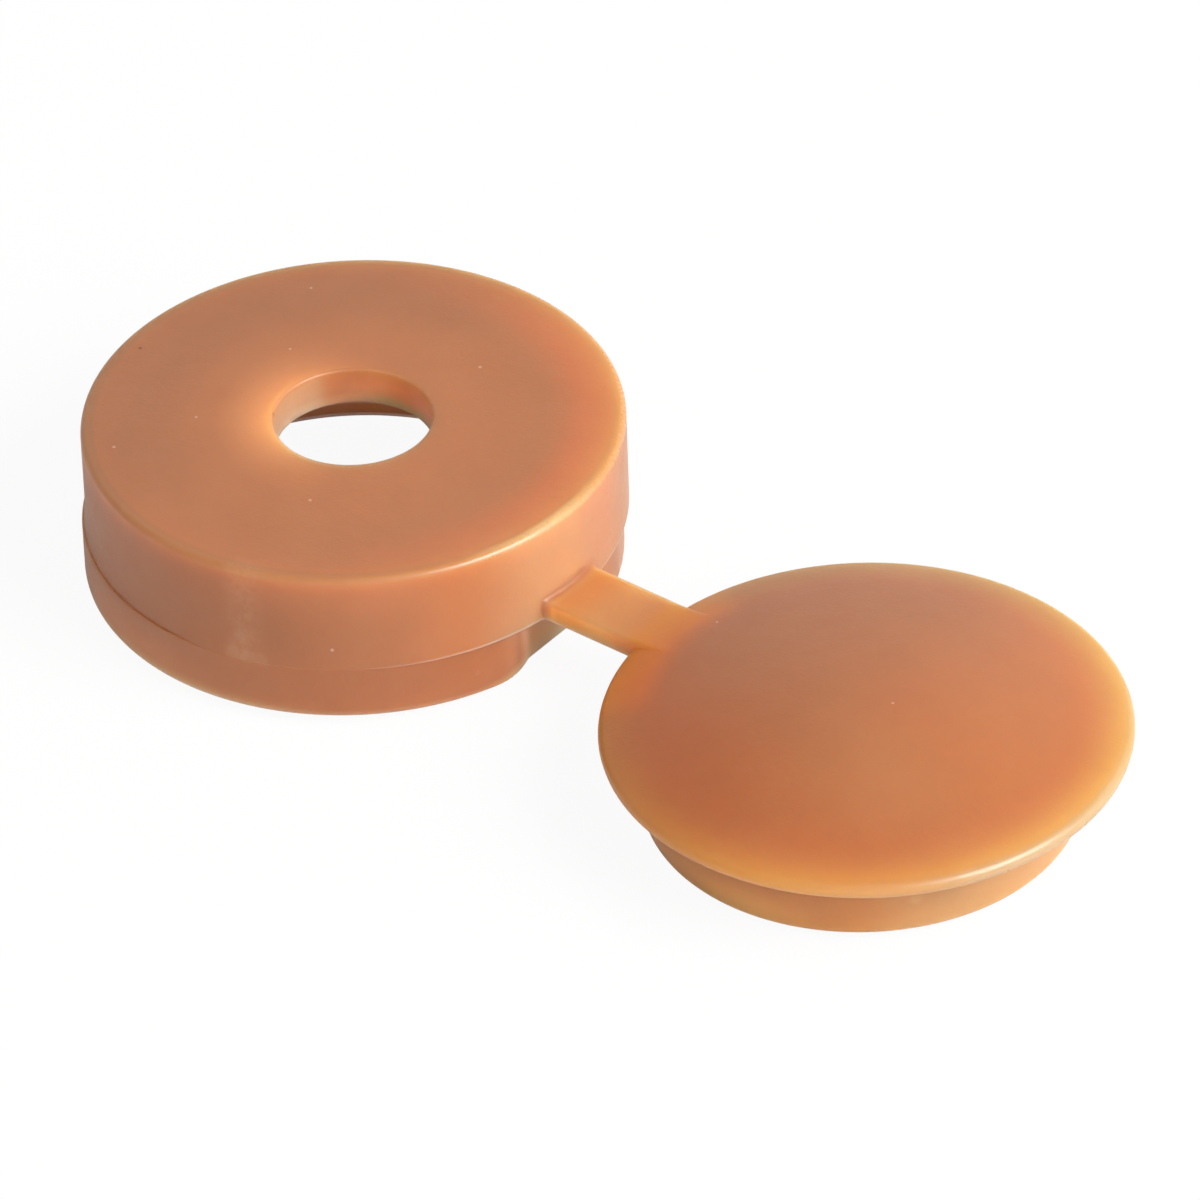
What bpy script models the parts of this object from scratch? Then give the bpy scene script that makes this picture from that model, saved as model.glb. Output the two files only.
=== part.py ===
"""Hinged screw cover cap, moulded in one piece: a base cup, a strap and a domed cap.

The base cup lies with its flat panel face up and its open rim down. A screw passes through the bore
from the open side, and the cap then folds under on its strap, so that its skirt plugs into the cup.

Every form is drawn as it leaves the mould, with the parting plane level. The finished part is then
leant over to the way it lies on a table: the cap's skirt is longer than the cup is deep below the
parting plane, so the part rests on the far edge of the cup's rim and the near edge of the skirt.
"""
import math

import bmesh
import bpy
from mathutils import Euler, Vector

MM = 0.001

# Base cup, measured from its open rim
BASE_DIAMETER = 13.0 * MM
BASE_HEIGHT = 4.1 * MM
PARTING_HEIGHT = 1.5 * MM
PANEL_FACE_ROUND = 0.15 * MM
PLATE_THICKNESS = 1.05 * MM
BORE_DIAMETER = 3.8 * MM
BORE_MOUTH_ROUND = 0.18 * MM
BORE_SEAT_CHAMFER = 0.1 * MM
CUP_DIAMETER = 10.7 * MM
CUP_CORNER_ROUND = 0.25 * MM
CUP_LEAD_IN = 0.33 * MM

# The lower half of the mould is a little small, and stands off the axis of the upper half
LOWER_INSET = 0.025 * MM
MOULD_SHIFT = Vector((-0.07, -0.11, 0.0)) * MM
LOWER_RIM_ROUND = 0.3 * MM

# Strap, and the flat in the cup's wall that takes it when the cap is folded under
STRAP_LENGTH = 2.5 * MM
STRAP_WIDTH = 1.85 * MM
STRAP_THICKNESS = 0.5 * MM
STRAP_EDGE_ROUND = 0.12 * MM
RELIEF_WIDTH = 1.46 * MM
RELIEF_CLEARANCE = 0.01 * MM
RELIEF_END_RADIUS = 2.8 * MM

# Domed cap
FLANGE_DIAMETER = 12.5 * MM
FLANGE_EDGE = 0.38 * MM
FLANGE_ROUND = 0.22 * MM
DOME_RISE = 0.8 * MM
DOME_WALL = 0.8 * MM
SKIRT_CLEARANCE = 0.1 * MM
SKIRT_DRAFT = math.radians(2.5)
SKIRT_WALL = 0.9 * MM
SKIRT_HEIGHT = 1.885 * MM
SKIRT_ROUND = 0.25 * MM

# How finely round forms are faceted, and how far bodies run into each other before they are joined
TURN_STEPS = 72
ROUND_STEPS = 4
DOME_STEPS = 8
RELIEF_STEPS = 10
JOIN_DEPTH = 0.4 * MM

PLASTIC_COLOUR = (0.62, 0.27, 0.12, 1.0)
PLASTIC_ROUGHNESS = 0.38

base_radius = BASE_DIAMETER / 2
lower_radius = base_radius - LOWER_INSET
flange_radius = FLANGE_DIAMETER / 2
cap_x = base_radius + STRAP_LENGTH + flange_radius
cup_ceiling = BASE_HEIGHT - PLATE_THICKNESS

# The dome is a sphere that runs smoothly into the round of the flange's edge
flange_top = PARTING_HEIGHT + FLANGE_EDGE
rim_radius = flange_radius - FLANGE_ROUND
rim_height = flange_top - FLANGE_ROUND
dome_radius = (rim_radius**2 + DOME_RISE**2) / (2 * DOME_RISE) + FLANGE_ROUND
dome_centre = flange_top + DOME_RISE - dome_radius
dome_end = math.degrees(math.acos(rim_radius / (dome_radius - FLANGE_ROUND)))

skirt_bottom = PARTING_HEIGHT - SKIRT_HEIGHT
skirt_root_radius = CUP_DIAMETER / 2 - SKIRT_CLEARANCE
skirt_end_radius = skirt_root_radius - SKIRT_HEIGHT * math.tan(SKIRT_DRAFT)


def clear_scene():
    for obj in list(bpy.data.objects):
        bpy.data.objects.remove(obj, do_unlink=True)


def collection_named(name):
    collection = bpy.data.collections.new(name)
    bpy.context.scene.collection.children.link(collection)
    return collection


def arc(centre_x, centre_z, radius, start, end, steps=ROUND_STEPS):
    """Points of an arc in a profile, from one angle in degrees above the horizontal to another."""
    points = []
    for step in range(steps + 1):
        angle = math.radians(start + (end - start) * step / steps)
        points.append((centre_x + radius * math.cos(angle), centre_z + radius * math.sin(angle)))
    return points


def turned(name, profile, collection, axis_at):
    """A profile of (radius, height) points that starts and ends on the axis, turned about it."""
    mesh = bpy.data.meshes.new(name)
    points = [(radius, 0.0, height) for radius, height in profile]
    mesh.from_pydata(points, [(i, i + 1) for i in range(len(points) - 1)], [])
    obj = bpy.data.objects.new(name, mesh)
    obj.location = axis_at
    collection.objects.link(obj)
    screw = obj.modifiers.new("turn", "SCREW")
    screw.axis = "Z"
    screw.steps = TURN_STEPS
    screw.render_steps = TURN_STEPS
    screw.use_merge_vertices = True
    screw.merge_threshold = 0.001 * MM
    screw.use_smooth_shade = True
    return obj


def as_tool(obj):
    obj.display_type = "WIRE"
    obj.hide_render = True
    return obj


def apply_tool(obj, operation, tool):
    boolean = obj.modifiers.new(tool.name, "BOOLEAN")
    boolean.operation = operation
    boolean.solver = "EXACT"
    boolean.object = tool


def upper_cup(collection):
    """The cup above the parting plane, on the upper mould's axis."""
    profile = [(0.0, BASE_HEIGHT)]
    profile += arc(base_radius - PANEL_FACE_ROUND, BASE_HEIGHT - PANEL_FACE_ROUND, PANEL_FACE_ROUND, 90, 0)
    profile += [(base_radius, PARTING_HEIGHT), (0.0, PARTING_HEIGHT)]
    return turned("screw_cover_cap", profile, collection, Vector())


def lower_cup(collection):
    """The cup below the parting plane, on the lower mould's axis, with a cone to run into the upper cup."""
    profile = [
        (0.0, PARTING_HEIGHT + JOIN_DEPTH),
        (lower_radius - 2 * JOIN_DEPTH, PARTING_HEIGHT + JOIN_DEPTH),
        (lower_radius, PARTING_HEIGHT),
    ]
    profile += arc(lower_radius - LOWER_RIM_ROUND, LOWER_RIM_ROUND, LOWER_RIM_ROUND, 0, -90)
    profile += [(0.0, 0.0)]
    cup = turned("lower_cup", profile, collection, MOULD_SHIFT)
    apply_tool(cup, "DIFFERENCE", as_tool(strap_relief(collection)))
    return cup


def cup_core(collection):
    """What the lower mould leaves empty: the cup's inside, with a chamfer to lead the skirt in."""
    radius = CUP_DIAMETER / 2
    mouth = radius + CUP_LEAD_IN
    profile = [(0.0, cup_ceiling)]
    profile += arc(radius - CUP_CORNER_ROUND, cup_ceiling - CUP_CORNER_ROUND, CUP_CORNER_ROUND, 90, 0)
    profile += [
        (radius, CUP_LEAD_IN),
        (mouth, 0.0),
        (mouth, -JOIN_DEPTH),
        (0.0, -JOIN_DEPTH),
    ]
    return turned("cup_core", profile, collection, MOULD_SHIFT)


def bore_pin(collection):
    """The bore, with a rounded mouth in the panel face and a chamfer where the screw's head seats."""
    radius = BORE_DIAMETER / 2
    flare = radius + BORE_MOUTH_ROUND
    profile = [(0.0, BASE_HEIGHT + JOIN_DEPTH), (flare, BASE_HEIGHT + JOIN_DEPTH)]
    profile += arc(flare, BASE_HEIGHT - BORE_MOUTH_ROUND, BORE_MOUTH_ROUND, 90, 180)
    profile += [
        (radius, cup_ceiling + BORE_SEAT_CHAMFER),
        (radius + BORE_SEAT_CHAMFER, cup_ceiling),
        (radius + BORE_SEAT_CHAMFER, cup_ceiling - JOIN_DEPTH),
        (0.0, cup_ceiling - JOIN_DEPTH),
    ]
    return turned("bore_pin", profile, collection, Vector())


def relief_side():
    """Points from an end of the relief's flat out along the arc that runs smoothly into the cup's wall."""
    flat_x = math.sqrt(lower_radius**2 - (STRAP_WIDTH / 2) ** 2) - STRAP_THICKNESS - RELIEF_CLEARANCE
    flat_end = Vector((flat_x, RELIEF_WIDTH / 2))
    centre_reach = lower_radius - RELIEF_END_RADIUS
    squares = flat_end.length_squared + centre_reach**2 - RELIEF_END_RADIUS**2
    opening = math.acos(squares / (2 * flat_end.length * centre_reach))
    meeting = math.atan2(flat_end.y, flat_end.x) + opening
    outward = Vector((math.cos(meeting), math.sin(meeting)))
    centre = outward * centre_reach
    start = math.atan2(flat_end.y - centre.y, flat_end.x - centre.x)
    points = arc(*centre, RELIEF_END_RADIUS, math.degrees(start), math.degrees(meeting), RELIEF_STEPS)
    return points + [tuple(outward * (base_radius + JOIN_DEPTH))]


def strap_relief(collection):
    """A flat below the strap, as deep as it is thick, that runs out into the cup's wall at both ends."""
    side = relief_side()
    clear_x = base_radius + JOIN_DEPTH
    outline = [(x, -y) for x, y in side] + [(clear_x, -side[-1][1]), (clear_x, side[-1][1])] + side[::-1]
    mesh = bpy.data.meshes.new("strap_relief")
    shape = bmesh.new()
    face = shape.faces.new([shape.verts.new((x, y, -JOIN_DEPTH)) for x, y in outline])
    raised = bmesh.ops.extrude_face_region(shape, geom=[face])["geom"]
    corners = [item for item in raised if isinstance(item, bmesh.types.BMVert)]
    bmesh.ops.translate(shape, verts=corners, vec=(0.0, 0.0, PARTING_HEIGHT + 3 * JOIN_DEPTH))
    bmesh.ops.recalc_face_normals(shape, faces=shape.faces)
    shape.to_mesh(mesh)
    shape.free()
    obj = bpy.data.objects.new("strap_relief", mesh)
    obj.location = MOULD_SHIFT
    collection.objects.link(obj)
    return obj


def strap(collection):
    """The strap, flat on the parting plane, with its two long upper edges rounded."""
    start = base_radius - JOIN_DEPTH
    end = base_radius + STRAP_LENGTH + 2 * JOIN_DEPTH
    shape = bmesh.new()
    bmesh.ops.create_cube(shape, size=1.0)
    bmesh.ops.scale(shape, verts=shape.verts, vec=(end - start, STRAP_WIDTH, STRAP_THICKNESS))
    middle = Vector(((start + end) / 2, 0.0, PARTING_HEIGHT + STRAP_THICKNESS / 2))
    bmesh.ops.translate(shape, verts=shape.verts, vec=middle)
    weights = shape.edges.layers.float.new("bevel_weight_edge")
    for edge in shape.edges:
        low, high = (vert.co for vert in edge.verts)
        along = abs(high.x - low.x) > STRAP_WIDTH
        edge[weights] = 1.0 if along and low.z > middle.z else 0.0
    mesh = bpy.data.meshes.new("strap")
    shape.to_mesh(mesh)
    shape.free()
    obj = bpy.data.objects.new("strap", mesh)
    collection.objects.link(obj)
    bevel = obj.modifiers.new("round_edges", "BEVEL")
    bevel.width = STRAP_EDGE_ROUND
    bevel.segments = ROUND_STEPS
    bevel.limit_method = "WEIGHT"
    return obj


def cap_dome(collection):
    """The domed disc, with a rounded edge, whose flat underside is the flange."""
    profile = arc(0.0, dome_centre, dome_radius, 90, dome_end, DOME_STEPS)
    profile += arc(rim_radius, rim_height, FLANGE_ROUND, dome_end, 0)[1:]
    profile += [(flange_radius, PARTING_HEIGHT), (0.0, PARTING_HEIGHT)]
    return turned("cap_dome", profile, collection, Vector((cap_x, 0.0, 0.0)))


def cap_plug(collection):
    """The skirt as a solid plug, on the lower mould's axis, with draft and a rounded end."""
    inner = skirt_end_radius - SKIRT_ROUND
    profile = [
        (0.0, PARTING_HEIGHT + FLANGE_EDGE / 2),
        (skirt_root_radius, PARTING_HEIGHT + FLANGE_EDGE / 2),
        (skirt_root_radius, PARTING_HEIGHT),
    ]
    profile += arc(inner, skirt_bottom + SKIRT_ROUND, SKIRT_ROUND, 0, -90)
    profile += [(0.0, skirt_bottom)]
    return turned("cap_plug", profile, collection, Vector((cap_x, 0.0, 0.0)) + MOULD_SHIFT)


def cap_core(collection):
    """The hollow inside the skirt, whose ceiling follows the dome."""
    radius = skirt_end_radius - SKIRT_WALL
    ceiling_radius = dome_radius - DOME_WALL
    ceiling_end = math.degrees(math.acos(radius / ceiling_radius))
    profile = arc(0.0, dome_centre, ceiling_radius, 90, ceiling_end, DOME_STEPS)
    profile += [(radius, skirt_bottom - JOIN_DEPTH), (0.0, skirt_bottom - JOIN_DEPTH)]
    return turned("cap_core", profile, collection, Vector((cap_x, 0.0, 0.0)) + MOULD_SHIFT)


def plastic():
    material = bpy.data.materials.new("light_oak_plastic")
    material.use_nodes = True
    shader = material.node_tree.nodes["Principled BSDF"]
    shader.inputs["Base Color"].default_value = PLASTIC_COLOUR
    shader.inputs["Roughness"].default_value = PLASTIC_ROUGHNESS
    shader.inputs["Metallic"].default_value = 0.0
    return material


def lay_to_rest(obj):
    """Lean the part onto its two resting edges, with the middle of its box over the origin."""
    cup_edge = MOULD_SHIFT.x - (lower_radius - LOWER_RIM_ROUND)
    skirt_edge = cap_x + MOULD_SHIFT.x - (skirt_end_radius - SKIRT_ROUND)
    lean = math.atan2(-skirt_bottom, skirt_edge - cup_edge)
    left = -base_radius * math.cos(lean) - BASE_HEIGHT * math.sin(lean)
    right = (cap_x + flange_radius) * math.cos(lean) - PARTING_HEIGHT * math.sin(lean)
    near = min(-base_radius, MOULD_SHIFT.y - lower_radius)
    far = max(base_radius, MOULD_SHIFT.y + lower_radius)
    obj.rotation_euler = Euler((0.0, -lean, 0.0))
    obj.location = Vector((-(left + right) / 2, -(near + far) / 2, -cup_edge * math.sin(lean)))


def build():
    clear_scene()
    product = collection_named("Screw cover cap")
    tools = collection_named("Forms joined and cut")
    cap = upper_cup(product)
    steps = [
        ("UNION", strap(tools)),
        ("UNION", cap_dome(tools)),
        ("UNION", lower_cup(tools)),
        ("UNION", cap_plug(tools)),
        ("DIFFERENCE", cup_core(tools)),
        ("DIFFERENCE", bore_pin(tools)),
        ("DIFFERENCE", cap_core(tools)),
    ]
    for operation, tool in steps:
        apply_tool(cap, operation, as_tool(tool))
    for tool in tools.objects:
        tool.parent = cap
    lay_to_rest(cap)
    cap.data.materials.append(plastic())


build()
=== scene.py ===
"""Looks of a hinged screw cover cap: its fine surface, its plastic, the light and the camera.

Lengths are in millimetres in the frame that the part is moulded in, as in the CAD source: the parting
plane is level, +X runs along the strap, and the origin is on the upper mould's axis at the cup's rim.
The finished mesh is then laid down as the CAD solid lies, and given in metres.
"""
import math

import bmesh
import bpy
from mathutils import Matrix, Vector

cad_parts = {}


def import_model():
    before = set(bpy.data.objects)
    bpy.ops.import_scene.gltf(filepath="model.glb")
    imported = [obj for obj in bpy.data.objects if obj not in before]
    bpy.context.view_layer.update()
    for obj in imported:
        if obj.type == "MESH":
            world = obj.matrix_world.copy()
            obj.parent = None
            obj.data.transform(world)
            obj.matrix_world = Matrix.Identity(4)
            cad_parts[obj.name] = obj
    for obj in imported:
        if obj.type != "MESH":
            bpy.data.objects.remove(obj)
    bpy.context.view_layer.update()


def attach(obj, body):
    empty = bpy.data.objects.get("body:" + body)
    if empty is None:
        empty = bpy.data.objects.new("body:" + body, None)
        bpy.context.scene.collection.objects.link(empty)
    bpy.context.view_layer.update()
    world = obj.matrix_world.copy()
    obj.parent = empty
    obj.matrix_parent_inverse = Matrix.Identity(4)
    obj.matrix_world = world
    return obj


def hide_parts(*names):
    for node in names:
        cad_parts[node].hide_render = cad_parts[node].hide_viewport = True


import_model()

MM = 0.001

# Sizes of the moulding, as in the CAD source
BASE_RADIUS = 6.5
BASE_HEIGHT = 4.1
PARTING = 1.5
PANEL_FACE_ROUND = 0.15
PLATE_THICKNESS = 1.05
BORE_RADIUS = 1.9
BORE_MOUTH_ROUND = 0.06
BORE_SEAT_CHAMFER = 0.1
CUP_RADIUS = 5.35
CUP_CORNER_ROUND = 0.25
CUP_LEAD_IN = 0.33
LOWER_RADIUS = 6.475
LOWER_RIM_ROUND = 0.3
STRAP_LENGTH = 2.5
STRAP_HALF_WIDTH = 0.925
STRAP_THICKNESS = 0.5
STRAP_EDGE_ROUND = 0.12
RELIEF_HALF_WIDTH = 0.73
RELIEF_CLEARANCE = 0.01
RELIEF_END_RADIUS = 2.8
FLANGE_RADIUS = 6.25
FLANGE_EDGE = 0.38
FLANGE_ROUND = 0.22
DOME_RISE = 0.8
DOME_WALL = 0.8
SKIRT_ROOT_RADIUS = 5.25
SKIRT_DRAFT = math.radians(2.5)
SKIRT_WALL = 0.9
SKIRT_HEIGHT = 1.885
SKIRT_ROUND = 0.25

# Axes of the mould's two halves, seen from above
UPPER_AXIS = Vector((0.0, 0.0))
LOWER_AXIS = Vector((-0.07, -0.11))

# Fine edges that the CAD solid leaves sharp: fillets at the strap's ends, and rounds
ROOT_FILLET = 0.1
FLANGE_FILLET = 0.07
FLANGE_LOWER_ROUND = 0.15
LEDGE_ROUND = 0.035
LEDGE_FLARE = 0.008
LEDGE_LIP = 0.05

# The ledge where the upper wall meets the lower one. It is filled on one side, flares out beside that,
# and is a lip with a round on another. A side is an angle from the strap, then the cosines to it at
# which it begins and is whole. A least share is what a round or the fill has elsewhere, and the round
# at the upper wall's foot is thinned by a share at the lip.
LEDGE_FILL_SIDE = (math.radians(-62.0), 0.83, 0.95)
LEDGE_FLARE_SIDE = (math.radians(-28.0), 0.9, 0.96)
LEDGE_LIP_SIDE = (math.radians(-140.0), 0.6, 0.8)
LEDGE_FILL_HEIGHT = 0.9
LEDGE_FILL_LEAST = 0.5
LEDGE_ROUND_LEAST = 0.1
LEDGE_THINNED = 0.65
LEDGE_LIP_LEAST = 0.06

cap_x = BASE_RADIUS + STRAP_LENGTH + FLANGE_RADIUS
cup_axis = Vector((0.0, 0.0))
cap_axis = Vector((cap_x, 0.0))
cup_ceiling = BASE_HEIGHT - PLATE_THICKNESS
skirt_bottom = PARTING - SKIRT_HEIGHT
skirt_end_radius = SKIRT_ROOT_RADIUS - SKIRT_HEIGHT * math.tan(SKIRT_DRAFT)
rim_radius = FLANGE_RADIUS - FLANGE_ROUND
rim_height = PARTING + FLANGE_EDGE - FLANGE_ROUND
dome_radius = (rim_radius**2 + DOME_RISE**2) / (2 * DOME_RISE) + FLANGE_ROUND
dome_centre = PARTING + FLANGE_EDGE + DOME_RISE - dome_radius
dome_end = math.degrees(math.acos(rim_radius / (dome_radius - FLANGE_ROUND)))

# The relief's flat ends at one angle, seen from the lower mould's axis, and its arc at another
relief_x = math.sqrt(LOWER_RADIUS**2 - STRAP_HALF_WIDTH**2) - STRAP_THICKNESS - RELIEF_CLEARANCE
relief_flat_end = math.atan2(RELIEF_HALF_WIDTH, relief_x)
relief_reach = LOWER_RADIUS - RELIEF_END_RADIUS
relief_corner = math.hypot(relief_x, RELIEF_HALF_WIDTH)
relief_meeting = relief_flat_end + math.acos(
    (relief_corner**2 + relief_reach**2 - RELIEF_END_RADIUS**2) / (2 * relief_corner * relief_reach)
)

# Mesh: cells across the strap and where the narrow ones at its edge end, rows up its side, how finely the
# rest is divided, and the strap's loops at its root, along it and at its end
ACROSS = 16
NARROW_CELLS = (0.955, 0.985)
ROWS = 12
NEAR_STEP = math.radians(0.5)
NEAR_REACH = math.radians(28.0)
FAR_STEP = math.radians(1.0)
SMOOTH_BELOW = math.radians(38.0)
ROOT_LOOPS = 8
STRAP_LOOPS = 14
END_LOOPS = 14

# The strap's upper edge turns by this much, in degrees, from one row or column to the next
EDGE_TURN = 22.5

# A curve's handles as a share of the way to where its two ends' directions meet, the least that way may
# be of the gap, and the cosine above which the two count as parallel
HANDLE = 0.6
LEAST_WAY = 0.25
PARALLEL = 0.999


def arc(centre_r, centre_z, radius, start, end, steps):
    """Points (radius, height) of an arc in a profile, from one angle in degrees to another."""
    points = []
    for step in range(steps + 1):
        angle = math.radians(start + (end - start) * step / steps)
        points.append((centre_r + radius * math.cos(angle), centre_z + radius * math.sin(angle)))
    return points


def between(first, last, steps):
    """Points that divide a straight stretch of a profile, both its ends left out."""
    return [
        tuple(a + (b - a) * step / steps for a, b in zip(first, last))
        for step in range(1, steps)
    ]


def lowered(profile, axis):
    """A profile's points with the axis that they turn about."""
    return [(radius, height, axis) for radius, height in profile]


def column_angles(half_hole):
    """Angles of a ring's points: evenly across the strap's root, finely beside it, then coarsely."""
    angles = [half_hole * share for share in across_shares()]
    side = []
    angle = half_hole
    while angle + NEAR_STEP < NEAR_REACH:
        angle += NEAR_STEP
        side.append(angle)
    rest = 2 * math.pi - 2 * angle
    count = round(rest / FAR_STEP)
    far = [angle + rest * step / count for step in range(1, count)]
    return angles + side + far + [2 * math.pi - angle for angle in reversed(side)]


def across_shares():
    """Places across the strap from -1 to 1, with two narrow cells at each edge."""
    inner_end, narrow = NARROW_CELLS
    inner = [inner_end * (2 * step / (ACROSS - 4) - 1) for step in range(ACROSS - 3)]
    return [-1.0, -narrow] + inner + [narrow, 1.0]


def relief_radius(angle):
    """How far the lower cup's wall reaches at an angle, where the relief below the strap cuts it."""
    off = abs(math.remainder(angle, 2 * math.pi))
    if off <= relief_flat_end:
        return relief_x / math.cos(off)
    if off >= relief_meeting:
        return LOWER_RADIUS
    along = relief_reach * math.cos(relief_meeting - off)
    aside = relief_reach * math.sin(relief_meeting - off)
    return along + math.sqrt(RELIEF_END_RADIUS**2 - aside**2)


def toward(angle, side):
    """A share that rises smoothly to 1 where an angle comes near a side."""
    middle, begins, whole = side
    share = min(max((math.cos(angle - middle) - begins) / (whole - begins), 0.0), 1.0)
    return share * share * (3.0 - 2.0 * share)


def ledge_round(angle):
    """The round at the upper wall's foot at an angle. On one side it turns into a fine flare."""
    filled = toward(angle, LEDGE_FILL_SIDE)
    flared = toward(angle, LEDGE_FLARE_SIDE)
    size = LEDGE_ROUND * (1.0 - LEDGE_THINNED * toward(angle, LEDGE_LIP_SIDE))
    rounded = size * max(1.0 - filled - flared, LEDGE_ROUND_LEAST)
    return rounded - (LEDGE_FLARE + LEDGE_ROUND_LEAST * size) * flared


def ledge_fill(angle):
    """How far the upper wall's foot swells at an angle: part of the step's width, or all on one side."""
    along = LOWER_AXIS.x * math.cos(angle) + LOWER_AXIS.y * math.sin(angle)
    aside = LOWER_AXIS.y * math.cos(angle) - LOWER_AXIS.x * math.sin(angle)
    step = along + math.sqrt(LOWER_RADIUS**2 - aside**2) - BASE_RADIUS
    return max(step, 0.0) * (LEDGE_FILL_LEAST + (1.0 - LEDGE_FILL_LEAST) * toward(angle, LEDGE_FILL_SIDE))


def lip_share(angle):
    """How much of its round the lower cup's upper edge has at an angle."""
    return LEDGE_LIP_LEAST + (1.0 - LEDGE_LIP_LEAST) * toward(angle, LEDGE_LIP_SIDE)


def wall_rows():
    """Heights on the cup's wall of the rows that meet the strap's side."""
    first = PARTING + LEDGE_ROUND
    last = PARTING + STRAP_THICKNESS + ROOT_FILLET
    return [first + (last - first) * step / (ROWS - 2) for step in range(ROWS - 1)]


def cup_profile():
    """The cup's rings as (radius, height, axis): the upper wall's from the strap up, and round to it."""
    foot = arc(BASE_RADIUS - LEDGE_ROUND, PARTING + LEDGE_ROUND, LEDGE_ROUND, -90, 0, steps=2)[:2]
    rows = foot + [(BASE_RADIUS, height) for height in wall_rows()]
    face_radius = BASE_RADIUS - PANEL_FACE_ROUND
    face_edge = arc(face_radius, BASE_HEIGHT - PANEL_FACE_ROUND, PANEL_FACE_ROUND, 0, 90, steps=10)
    mouth_radius = BORE_RADIUS + BORE_MOUTH_ROUND
    mouth = arc(mouth_radius, BASE_HEIGHT - BORE_MOUTH_ROUND, BORE_MOUTH_ROUND, 90, 180, steps=10)
    bore_end = (BORE_RADIUS, cup_ceiling + BORE_SEAT_CHAMFER)
    upper = rows + between(rows[-1], face_edge[0], steps=8) + face_edge
    upper += between(face_edge[-1], mouth[0], steps=16) + mouth
    upper += between(mouth[-1], bore_end, steps=4)
    upper += [bore_end, (BORE_RADIUS + BORE_SEAT_CHAMFER, cup_ceiling)]

    corner_radius = CUP_RADIUS - CUP_CORNER_ROUND
    inside = arc(corner_radius, cup_ceiling - CUP_CORNER_ROUND, CUP_CORNER_ROUND, 90, 0, steps=8)
    lead_in = (CUP_RADIUS, CUP_LEAD_IN)
    inside += between(inside[-1], lead_in, steps=8) + [lead_in, (CUP_RADIUS + CUP_LEAD_IN, 0.0)]

    rim = arc(LOWER_RADIUS - LOWER_RIM_ROUND, LOWER_RIM_ROUND, LOWER_RIM_ROUND, -90, 0, steps=10)
    lip = arc(LOWER_RADIUS - LEDGE_LIP, PARTING - LEDGE_LIP, LEDGE_LIP, 0, 90, steps=4)
    lower = rim + between(rim[-1], lip[0], steps=6) + lip
    return lowered(upper, UPPER_AXIS) + lowered(inside, LOWER_AXIS) + lowered(lower, LOWER_AXIS)


def cap_profile():
    """The cap's rings as (radius, height, axis): those of flange and dome, and of hollow and skirt."""
    foot_radius = FLANGE_RADIUS - FLANGE_LOWER_ROUND
    foot = arc(foot_radius, PARTING + FLANGE_LOWER_ROUND, FLANGE_LOWER_ROUND, -90, 0, steps=3)
    rim = arc(rim_radius, rim_height, FLANGE_ROUND, 0, dome_end, steps=6)
    dome = arc(0.0, dome_centre, dome_radius, dome_end, 90, steps=15)
    outer = foot + rim + dome[1:-1]

    inner_radius = skirt_end_radius - SKIRT_WALL
    inner_end = (inner_radius, skirt_bottom)
    ceiling_radius = dome_radius - DOME_WALL
    ceiling_end = math.degrees(math.acos(inner_radius / ceiling_radius))
    ceiling = arc(0.0, dome_centre, ceiling_radius, 90, ceiling_end, steps=16)[1:]
    end = arc(skirt_end_radius - SKIRT_ROUND, skirt_bottom + SKIRT_ROUND, SKIRT_ROUND, -90, 0, steps=8)
    root = (SKIRT_ROOT_RADIUS, PARTING)
    skirt = ceiling + between(ceiling[-1], inner_end, steps=6) + [inner_end] + end
    skirt += between(end[-1], root, steps=6) + [root]
    return lowered(outer, UPPER_AXIS), lowered(skirt, LOWER_AXIS)


def ring(shape, spec, angles, centre, facing):
    """One ring of points. Its angles are measured from the strap, to which facing points along X.

    Only the cup faces forwards. Its outside has the ledge's round, lip and fill, and the relief.
    """
    radius, height, axis = spec
    outside = facing > 0 and radius > CUP_RADIUS + CUP_LEAD_IN
    upper = outside and axis is UPPER_AXIS
    lower = outside and axis is LOWER_AXIS
    foot = upper and height < PARTING + LEDGE_ROUND
    lip = lower and height > PARTING - LEDGE_LIP
    fill = max(1.0 - (height - PARTING) / LEDGE_FILL_HEIGHT, 0.0)**2
    points = []
    for angle in angles:
        reach = radius
        level = height
        if foot:
            size = ledge_round(angle) / LEDGE_ROUND
            reach = BASE_RADIUS - (BASE_RADIUS - radius) * size
            level = PARTING + (height - PARTING) * abs(size)
        if lip:
            size = lip_share(angle)
            reach = LOWER_RADIUS - (LOWER_RADIUS - radius) * size
            level = PARTING - (PARTING - height) * size
        if upper:
            reach += ledge_fill(angle) * fill
        if lower:
            reach = min(reach, relief_radius(angle))
        x = centre.x + axis.x + facing * reach * math.cos(angle)
        y = centre.y + axis.y + reach * math.sin(angle)
        points.append(shape.verts.new((x, y, level)))
    return points


def join(shape, low, high, columns):
    """Faces between two loops of points, in the columns that are named."""
    for column in columns:
        after = (column + 1) % len(low)
        shape.faces.new((low[column], low[after], high[after], high[column]))


def skin(shape, rings, closed, hole_rows):
    """Faces between rings that follow each other, apart from the hole that the strap fills."""
    pairs = list(zip(rings, rings[1:]))
    if closed:
        pairs.append((rings[-1], rings[0]))
    for row, (low, high) in enumerate(pairs):
        join(shape, low, high, range(ACROSS if row < hole_rows else 0, len(low)))


def cover(shape, points, centre):
    """A fan that closes a ring at its pole."""
    pole = shape.verts.new(centre)
    for first, second in zip(points, points[1:] + points[:1]):
        shape.faces.new((first, second, pole))


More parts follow.
